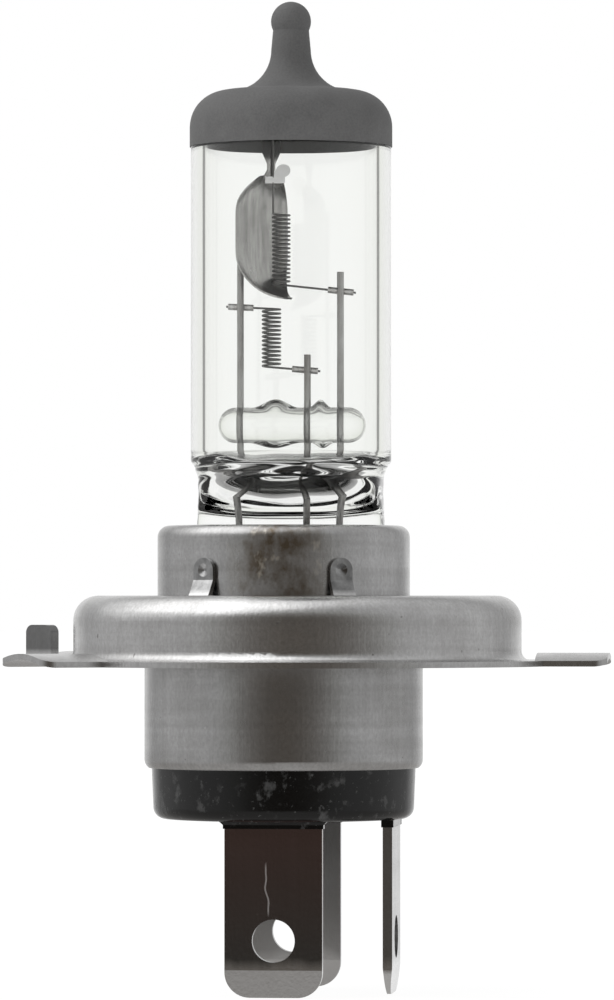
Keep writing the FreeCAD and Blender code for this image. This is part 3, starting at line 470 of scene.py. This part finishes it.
def satin_steel(name, level, roughness=0.24, finish_and_painted_light=None):
    """Drawn sheet steel: fine upright draw lines, soft blotches, a few pits and rubbed specks."""
    tree = Tree(name)
    lines = tree.cloud((2600, 2600, 60), 2.0, 0.6)
    wide_lines = tree.cloud((800, 800, 40), 2.0, 0.5, 3.0)
    blotches = tree.cloud((170, 170, 170), 4.0, 0.6, 7.0)
    pits = tree.spread(tree.cloud((1700, 1700, 1700), 1.0, 0.5, 11.0), 0.76, 0.82)
    specks = tree.spread(tree.cloud((3200, 3200, 1500), 1.0, 0.5, 17.0), 0.77, 0.84)
    bands = tree.cloud((30, 30, 900), 3.0, 0.6, 5.0)
    grain = tree.cloud((4200, 4200, 2600), 2.0, 0.7, 13.0)
    soft = tree.plus(tree.times(lines, 0.35), tree.times(wide_lines, 0.45))
    shade = tree.plus(tree.plus(soft, bands), tree.times(blotches, 1.2))
    share = tree.spread(shade, 1.05, 1.95)
    colour = tree.blend(share, grey(level * 0.76, 0.012), grey(level * 1.2, 0.0))
    colour = tree.blend(tree.spread(grain, 0.35, 0.65, 0.24, 0.0), colour, grey(level * 0.45, 0.02))
    colour = tree.blend(tree.times(pits, 0.7), colour, grey(level * 0.3, 0.05))
    colour = tree.blend(tree.times(specks, 0.5), colour, grey(0.85))
    shine = tree.spread(shade, 1.05, 1.95, roughness * 1.2, roughness * 0.85)
    # Adds real marks together with painted reflections and highlights, depending on the part.
    if finish_and_painted_light:
        colour, shine = finish_and_painted_light(tree, colour, shine)
    fine = tree.minus(tree.plus(lines, grain), pits)
    shader = tree.add("ShaderNodeBsdfPrincipled", Base_Color=colour, Roughness=shine)
    shader.inputs["Metallic"].default_value = 1.0
    tree.feed(shader.inputs["Normal"], tree.bump(fine, 0.22, 0.00004))
    return tree.finish(shader)


def tabs_and_ear(tree, colour, shine):
    """The ring's weld tabs are glossy, with near-black scorched patches and pale patches that are
    painted highlights; its ear is dull and painted dark, a painted reflection of the dark front it
    faces.
    """
    x, y, z = tree.axes()
    radius = tree.plus(tree.times(x, x), tree.times(y, y))
    outside = tree.spread(radius, (EAR_DISTANCE * MM) ** 2, ((EAR_DISTANCE + EDGE_FADE) * MM) ** 2)
    upright = tree.spread(z, EAR_FOOT * MM, (EAR_FOOT + EDGE_FADE) * MM)
    ear = tree.times(outside, upright)
    tabs = tree.spread(z, TAB_FOOT * MM, (TAB_FOOT + EDGE_FADE) * MM)
    # Painted reflection: the ear is painted dark where it faces the dark front.
    colour = tree.blend(tree.times(ear, 0.72), colour, grey(0.09))
    # Near-black weld scorch, mixed with pale patches that are painted highlights.
    scorch_and_highlights = tree.blend(tree.cloud((900, 900, 900), 3.0, 0.6, 2.0), grey(0.03), grey(0.62))
    colour = tree.blend(tabs, colour, scorch_and_highlights)
    shine = tree.minus(shine, tree.times(tabs, 0.12))
    return colour, shine


def painted_shell_reflection(tree, colour, shine):
    """Painted reflection down the front of the upper shell: brown patches paint the dark front it
    faces, and pale patches paint highlights.
    """
    x, y, z = tree.axes()
    aside = tree.minus(x, REFLECTION_AT * MM)
    reflection_column = tree.spread(tree.times(aside, aside), 0.0, (REFLECTION_HALF * MM) ** 2, 1.0, 0.0)
    front = tree.spread(y, REFLECTION_FRONT * MM, (REFLECTION_FRONT - 1) * MM)
    raised = tree.spread(z, REFLECTION_FOOT * MM, (REFLECTION_FOOT + 1.5) * MM)
    reflection_column = tree.times(reflection_column, tree.times(front, raised))
    brown = tree.spread(tree.cloud((420, 420, 330), 4.0, 0.65, 3.0), 0.42, 0.62)
    pale = tree.spread(tree.cloud((800, 800, 500), 3.0, 0.65, 8.0), 0.6, 0.75)
    # Painted reflection: brown patches for the dark front the shell faces, pale patches for highlights.
    colour = tree.blend(tree.times(brown, reflection_column), colour, (0.2, 0.16, 0.115, 1.0))
    colour = tree.blend(tree.times(pale, reflection_column), colour, (0.95, 0.9, 0.8, 1.0))
    return colour, tree.plus(shine, tree.times(reflection_column, 0.12))


def blade_wear_and_reflection(tree, colour, shine):
    """Worn ends, a painted brown reflection on the front blade's face that darkens towards the top, and
    a wandering scratch on the front blade; the others are paler.
    """
    x, y, z = tree.axes()
    reach = SCRATCH_WANDER * MM
    wander = tree.spread(tree.cloud((0, 0, 260), 2.0, 0.5, 1.0), 0.2, 0.8, -reach, reach)
    aside = tree.minus(tree.minus(x, SCRATCH_AT * MM), wander)
    line = tree.spread(tree.times(aside, aside), 0, (SCRATCH_HALF * MM) ** 2, 1, 0)
    below_top = tree.spread(z, SCRATCH_TOP * MM, (SCRATCH_TOP - 0.6) * MM)
    above_foot = tree.spread(z, SCRATCH_FOOT * MM, (SCRATCH_FOOT + 0.6) * MM)
    front = tree.spread(y, FRONT_BLADE * MM, (FRONT_BLADE - BLADE_FADE) * MM)
    far = tree.spread(y, FAR_BLADE * MM, (FAR_BLADE + BLADE_FADE) * MM)
    single = tree.spread(x, SINGLE_BLADE * MM, (SINGLE_BLADE + BLADE_FADE) * MM)
    colour = tree.blend(tree.times(far, 0.55), colour, grey(0.9))
    colour = tree.blend(tree.times(single, 0.35), colour, grey(0.9))
    shine = tree.plus(shine, tree.times(far, 0.15))
    below_edge = tree.times(tree.minus(z, WORN_EDGE * MM), -700)
    worn = tree.plus(tree.cloud((500, 500, 0), 2.0, 0.5, 4.0), below_edge)
    colour = tree.blend(tree.spread(worn, 0.4, 1.0, 0.0, 0.75), colour, grey(0.9))
    length = tree.times(tree.times(below_top, above_foot), front)
    # Painted reflection: the front face of the front blade is painted brown and darker towards the top.
    painted_front_reflection = tree.times(tree.spread(z, FRONT_REFLECTION_FOOT * MM, FRONT_REFLECTION_TOP * MM), front)
    colour = tree.blend(painted_front_reflection, colour, (0.27, 0.195, 0.185, 1.0))
    mark = tree.times(tree.times(line, length), 0.5)
    return tree.blend(mark, colour, grey(0.9)), tree.plus(shine, mark)


def drawn_wire(name, level, roughness=0.45):
    """Dull drawn wire with lengthwise lines and darker heat-tinted patches."""
    tree = Tree(name)
    lines = tree.cloud((3500, 3500, 90), 2.0)
    patches = tree.cloud((500, 500, 260), 3.0, 0.6, 5.0)
    share = tree.spread(tree.plus(lines, patches), 0.7, 1.3)
    colour = tree.blend(share, grey(level * 0.65, 0.04), grey(level * 1.25))
    shader = tree.add("ShaderNodeBsdfPrincipled", Base_Color=colour)
    shader.inputs["Metallic"].default_value = 1.0
    tree.feed(shader.inputs["Roughness"], tree.spread(patches, 0.3, 0.7, roughness, roughness * 0.7))
    tree.feed(shader.inputs["Normal"], tree.bump(lines, 0.25, 0.00003))
    return tree.finish(shader)


def shield_metal(name):
    """Rolled sheet with a soft sheen, darkened in patches by heat."""
    tree = Tree(name)
    rolled = tree.cloud((2400, 2400, 160), 2.0, 0.5)
    heat = tree.cloud((330, 330, 200), 3.0, 0.6, 9.0)
    share = tree.spread(tree.plus(rolled, heat), 0.75, 1.25)
    colour = tree.blend(share, grey(0.25, 0.02), grey(0.48, 0.01))
    height = tree.axes()[2]
    scorch = tree.spread(height, SCORCH_FOOT * MM, (SCORCH_FOOT + EDGE_FADE) * MM)
    colour = tree.blend(scorch, colour, grey(0.05))
    shader = tree.add("ShaderNodeBsdfPrincipled", Base_Color=colour)
    shader.inputs["Metallic"].default_value = 1.0
    tree.feed(shader.inputs["Roughness"], tree.spread(heat, 0.3, 0.7, 0.14, 0.28))
    tree.feed(shader.inputs["Normal"], tree.bump(heat, 0.3, 0.0002))
    return tree.finish(shader)


def clip_metal(name):
    """Bright soft strip with faint rolling lines. A real one does not glow: the weak glow here
    makes up for how dark it otherwise looks behind the glass."""
    tree = Tree(name)
    rolled = tree.cloud((900, 900, 2600), 2.0, 0.5)
    colour = tree.blend(rolled, grey(0.84), grey(0.95))
    shader = tree.add("ShaderNodeBsdfPrincipled", Base_Color=colour)
    shader.inputs["Metallic"].default_value = 0.15
    shader.inputs["Emission Strength"].default_value = 0.3
    tree.feed(shader.inputs["Emission Color"], colour)
    tree.feed(shader.inputs["Roughness"], tree.spread(rolled, 0.3, 0.7, 0.35, 0.45))
    tree.feed(shader.inputs["Normal"], tree.bump(rolled, 0.15, 0.00004))
    return tree.finish(shader)


def coating(name):
    """Matt heat-proof paint: fine grain and faint mottling."""
    tree = Tree(name)
    grain = tree.cloud((6000, 6000, 6000), 2.0, 0.6)
    mottle = tree.cloud((420, 420, 420), 3.0, 0.6, 4.0)
    share = tree.spread(tree.plus(grain, mottle), 0.7, 1.3)
    colour = tree.blend(share, grey(0.108), grey(0.15))
    shader = tree.add("ShaderNodeBsdfPrincipled", Base_Color=colour)
    tree.feed(shader.inputs["Roughness"], tree.spread(mottle, 0.3, 0.7, 0.62, 0.74))
    tree.feed(shader.inputs["Normal"], tree.bump(grain, 0.25, 0.00004))
    return tree.finish(shader)


def moulding(name):
    """Black filled moulding: slight orange peel, pale flecks of filler and rubbed scuffs."""
    tree = Tree(name)
    peel = tree.cloud((1500, 1500, 1500), 2.0)
    where = tree.spread(tree.cloud((260, 260, 330), 3.0, 0.6, 2.0), 0.36, 0.55)
    flecks = tree.spread(tree.cloud((800, 800, 600), 3.0, 0.65, 6.0), 0.57, 0.75)
    dust = tree.spread(tree.cloud((3000, 3000, 3000), 1.0, 0.5, 9.0), 0.68, 0.78)
    patches = tree.times(flecks, where)
    marks = tree.plus(tree.times(patches, 0.5), tree.times(dust, 0.3))
    colour = tree.blend(marks, grey(0.0015), grey(0.16))
    shader = tree.add("ShaderNodeBsdfPrincipled", Base_Color=colour)
    tree.feed(shader.inputs["Roughness"], tree.spread(marks, 0.0, 0.4, 0.16, 0.5))
    tree.feed(shader.inputs["Normal"], tree.bump(tree.plus(peel, marks), 0.15, 0.00006))
    return tree.finish(shader)


def clear_glass(name, waviness):
    """Clear glass with faint draw waves and a trace of handling haze."""
    tree = Tree(name)
    waves = tree.cloud((160, 160, 40), 2.0, 0.4)
    haze = tree.cloud((260, 260, 120), 3.0, 0.6, 8.0)
    colour = tree.blend(haze, (0.968, 0.976, 0.962, 1.0), (0.985, 0.99, 0.98, 1.0))
    shader = tree.add("ShaderNodeBsdfPrincipled", Base_Color=colour)
    shader.inputs["Transmission Weight"].default_value = 1.0
    shader.inputs["IOR"].default_value = 1.5
    tree.feed(shader.inputs["Roughness"], tree.spread(haze, 0.5, 0.8, 0.0, 0.03))
    tree.feed(shader.inputs["Normal"], tree.bump(waves, waviness, 0.0002))
    return tree.finish(shader)


def paint(node, material):
    """Gives a carried-over CAD node its material."""
    item = frame["nodes"][node]
    item.data.materials.clear()
    item.data.materials.append(material)


def dress():
    """Materials for every CAD piece, and the two rebuilt pieces of glass with theirs."""
    wire = drawn_wire("molybdenum_wire", 0.36)
    sleeve = drawn_wire("sleeve_metal", 0.6)
    tungsten = drawn_wire("tungsten_wire", 0.17, 0.5)
    nickel = drawn_wire("nickel_wire", 0.4, 0.4)
    sheet = shield_metal("shield_sheet")
    shell = satin_steel("shell_steel", 0.54, finish_and_painted_light=painted_shell_reflection)
    ring = satin_steel("ring_steel", 0.64, finish_and_painted_light=tabs_and_ear)
    blade = satin_steel("blade_metal", 0.22, 0.2, blade_wear_and_reflection)
    slots = {
        "post_wire": wire,
        "filament_wire": tungsten,
        "lead_wire": nickel,
        "shield_sheet": sheet,
        "shell_steel": shell,
        "ring_steel": ring,
        "blade_metal": blade,
        "coating": coating("glare_coating"),
        "insulator": moulding("black_moulding"),
    }
    for entry in frame["record"]["subparts"]:
        slot = entry["material_slot"]
        if slot in slots:
            paint(entry["node"], slots[slot])
    paint("shield_clip", clip_metal("clip_metal"))
    for node in ("low_beam_sleeve", "high_beam_upper_sleeve", "high_beam_lower_sleeve"):
        paint(node, sleeve)
    tube = glass_tube()
    tube.data.materials.append(clear_glass("tube_glass", 0.05))
    rod = bridge()
    rod.data.materials.append(clear_glass("bridge_glass", 0.1))


# ---------------------------------------------------------------- studio

FLOOR_RADIUS = 6.0
FLOOR_GAP = 0.0001  # keeps the floor from touching the blades' ends


def facing():
    """The level direction from the part to the camera."""
    return Vector((math.sin(VIEW_AZIMUTH), -math.cos(VIEW_AZIMUTH), 0))


def camera():
    """The photograph's camera: far off, slightly to the right and almost level."""
    data = bpy.data.cameras.new("camera")
    data.sensor_width = SENSOR
    data.lens = SENSOR * VIEW_DISTANCE / VIEW_HEIGHT
    data.clip_start = 0.01
    data.clip_end = 50.0
    item = linked("camera", data)
    front = facing()
    aside = Vector((-front.y, front.x, 0))
    target = aside * AIM_ASIDE + Vector((0, 0, AIM_HEIGHT))
    item.location = aside * AIM_ASIDE + front * VIEW_DISTANCE + Vector((0, 0, EYE_HEIGHT))
    item.rotation_mode = "QUATERNION"
    item.rotation_quaternion = (target - item.location).to_track_quat("-Z", "Y")
    bpy.context.scene.camera = item


def soft_box(name, at, size, power):
    """A rectangular soft light aimed at the part."""
    data = bpy.data.lights.new(name, "AREA")
    data.shape = "RECTANGLE"
    data.size, data.size_y = size
    data.energy = power
    item = linked(name, data)
    item.location = at
    item.rotation_mode = "QUATERNION"
    item.rotation_quaternion = (Vector((0, 0, 0.01)) - item.location).to_track_quat("-Z", "Y")
    item.visible_camera = False


def around(angle):
    """Where a level direction lies on the ramp: 1 toward the camera, 0 straight away from it."""
    return (math.cos(math.radians(angle)) + 1) / 2


# Level directions by their angle from the camera's direction, each with the brightness there.
SEEN_IN_METAL = (
    (180, (1.0, 1.0, 1.0)),
    (157, (0.75, 0.75, 0.75)),
    (136, (0.4, 0.4, 0.4)),
    (116, (0.55, 0.55, 0.55)),
    (90, (0.54, 0.54, 0.54)),
    (58, (0.46, 0.46, 0.46)),
    (44, (0.36, 0.36, 0.35)),
    (30, (0.19, 0.18, 0.17)),
    (14, (0.1, 0.088, 0.076)),
    (0, (0.085, 0.072, 0.06)),
)
SEEN_IN_GLASS = (
    (180, (1.0, 1.0, 1.0)),
    (168, (0.99, 0.99, 0.985)),
    (150, (0.92, 0.925, 0.9)),
    (138, (0.84, 0.85, 0.81)),
    (136, (0.25, 0.25, 0.24)),  # the flag, from here
    (132, (0.25, 0.25, 0.24)),  # to here
    (129.5, (0.8, 0.8, 0.79)),
    (60, (0.86, 0.86, 0.85)),
    (0, (0.9, 0.9, 0.89)),
)
DARK_FLAG = (0.25, 0.25, 0.25)


class Sky:
    """The world's node tree, with short calls to add and join nodes."""

    def __init__(self):
        world = bpy.data.worlds.new("studio")
        bpy.context.scene.world = world
        world.use_nodes = True
        self.nodes, self.links = world.node_tree.nodes, world.node_tree.links
        self.nodes.clear()
        self.direction = self.nodes.new("ShaderNodeTexCoord").outputs["Generated"]

    def toward(self, axis):
        """How far the direction points along an axis, from -1 to 1."""
        node = self.nodes.new("ShaderNodeVectorMath")
        node.operation = "DOT_PRODUCT"
        self.links.new(self.direction, node.inputs[0])
        node.inputs[1].default_value = axis
        return node.outputs["Value"]

    def ramp(self, value, stops):
        """Colours blended between (place, colour) stops."""
        node = self.nodes.new("ShaderNodeValToRGB")
        self.links.new(value, node.inputs["Fac"])
        elements = node.color_ramp.elements
        while len(elements) < len(stops):
            elements.new(0.5)
        for element, (place, colour) in zip(elements, stops):
            element.position = place
            element.color = (*colour, 1)
        return node.outputs["Color"]

    def share(self, value, low, high):
        """0 where the value is low, 1 where it is high."""
        node = self.nodes.new("ShaderNodeMapRange")
        self.links.new(value, node.inputs["Value"])
        node.inputs["From Min"].default_value = low
        node.inputs["From Max"].default_value = high
        return node.outputs["Result"]

    def mixed(self, share, first, second):
        """The first colour where share is 0, the second where it is 1."""
        node = self.nodes.new("ShaderNodeMix")
        node.data_type = "RGBA"
        self.links.new(share, node.inputs["Factor"])
        for socket, value in ((node.inputs[6], first), (node.inputs[7], second)):
            if isinstance(value, bpy.types.NodeSocket):
                self.links.new(value, socket)
            else:
                socket.default_value = (*value, 1)
        return node.outputs[2]

    def finish(self, colour):
        """Makes the colour the world's light."""
        lit = self.nodes.new("ShaderNodeBackground")
        self.links.new(colour, lit.inputs["Color"])
        output = self.nodes.new("ShaderNodeOutputWorld")
        self.links.new(lit.outputs[0], output.inputs["Surface"])


def surroundings():
    """White for the camera. What metal reflects is darker and warmer in front of the part. What
    glass bends is pale all round, with a dark ceiling and floor and a narrow dark flag each side."""
    sky = Sky()
    front = facing()
    ahead = sky.share(sky.toward(front), -1, 1)
    height = sky.toward((0, 0, 1))
    metal = sky.ramp(ahead, [(around(angle), colour) for angle, colour in SEEN_IN_METAL])
    ceiling_axis = (Vector((0, 0, 1)) + Vector((front.y, -front.x, 0)) * 0.6).normalized()
    metal = sky.mixed(sky.share(sky.toward(ceiling_axis), 0.6, 0.95), metal, (1.35, 1.35, 1.35))
    metal = sky.mixed(sky.share(height, -0.12, -0.32), metal, (0.42, 0.41, 0.4))
    glass = sky.ramp(ahead, [(around(angle), colour) for angle, colour in SEEN_IN_GLASS])
    glass = sky.mixed(sky.share(height, 0.6, 0.85), glass, DARK_FLAG)
    glass = sky.mixed(sky.share(height, -0.45, -0.8), glass, DARK_FLAG)
    path = sky.nodes.new("ShaderNodeLightPath")
    colour = sky.mixed(path.outputs["Is Transmission Ray"], metal, glass)
    sky.finish(sky.mixed(path.outputs["Is Camera Ray"], colour, (1, 1, 1)))


def floor():
    """A pale lit table just under the blades."""
    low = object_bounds()[0]
    mesh = bmesh.new()
    bmesh.ops.create_circle(mesh, cap_ends=True, segments=96, radius=FLOOR_RADIUS)
    data = bpy.data.meshes.new("floor")
    mesh.to_mesh(data)
    mesh.free()
    item = linked("floor", data)
    item.location.z = low.z - FLOOR_GAP
    item.visible_glossy = False
    item.visible_transmission = False
    tree = Tree("floor_white")
    tint = tree.blend(tree.cloud((3, 3, 3)), grey(0.1), grey(0.12))
    shader = tree.add("ShaderNodeBsdfPrincipled", Base_Color=tint)
    shader.inputs["Roughness"].default_value = 0.9
    shader.inputs["Specular IOR Level"].default_value = 0.0
    shader.inputs["Emission Color"].default_value = (1, 1, 1, 1)
    shader.inputs["Emission Strength"].default_value = 0.95
    data.materials.append(tree.finish(shader))
    item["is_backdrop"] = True


def studio():
    """The surroundings, the floor, one broad light overhead to the left, and the camera."""
    scene = bpy.context.scene
    scene.view_settings.view_transform = "Standard"
    scene.cycles.max_bounces = 24
    scene.cycles.transmission_bounces = 20
    scene.cycles.transparent_max_bounces = 12
    surroundings()
    floor()
    front = facing()
    aside = Vector((-front.y, front.x, 0))
    above = Vector((0, 0, 0.8)) + front * 0.2 - aside * 0.5
    soft_box("overhead", above, (1.2, 0.9), 1.5)
    camera()


dress()
studio()
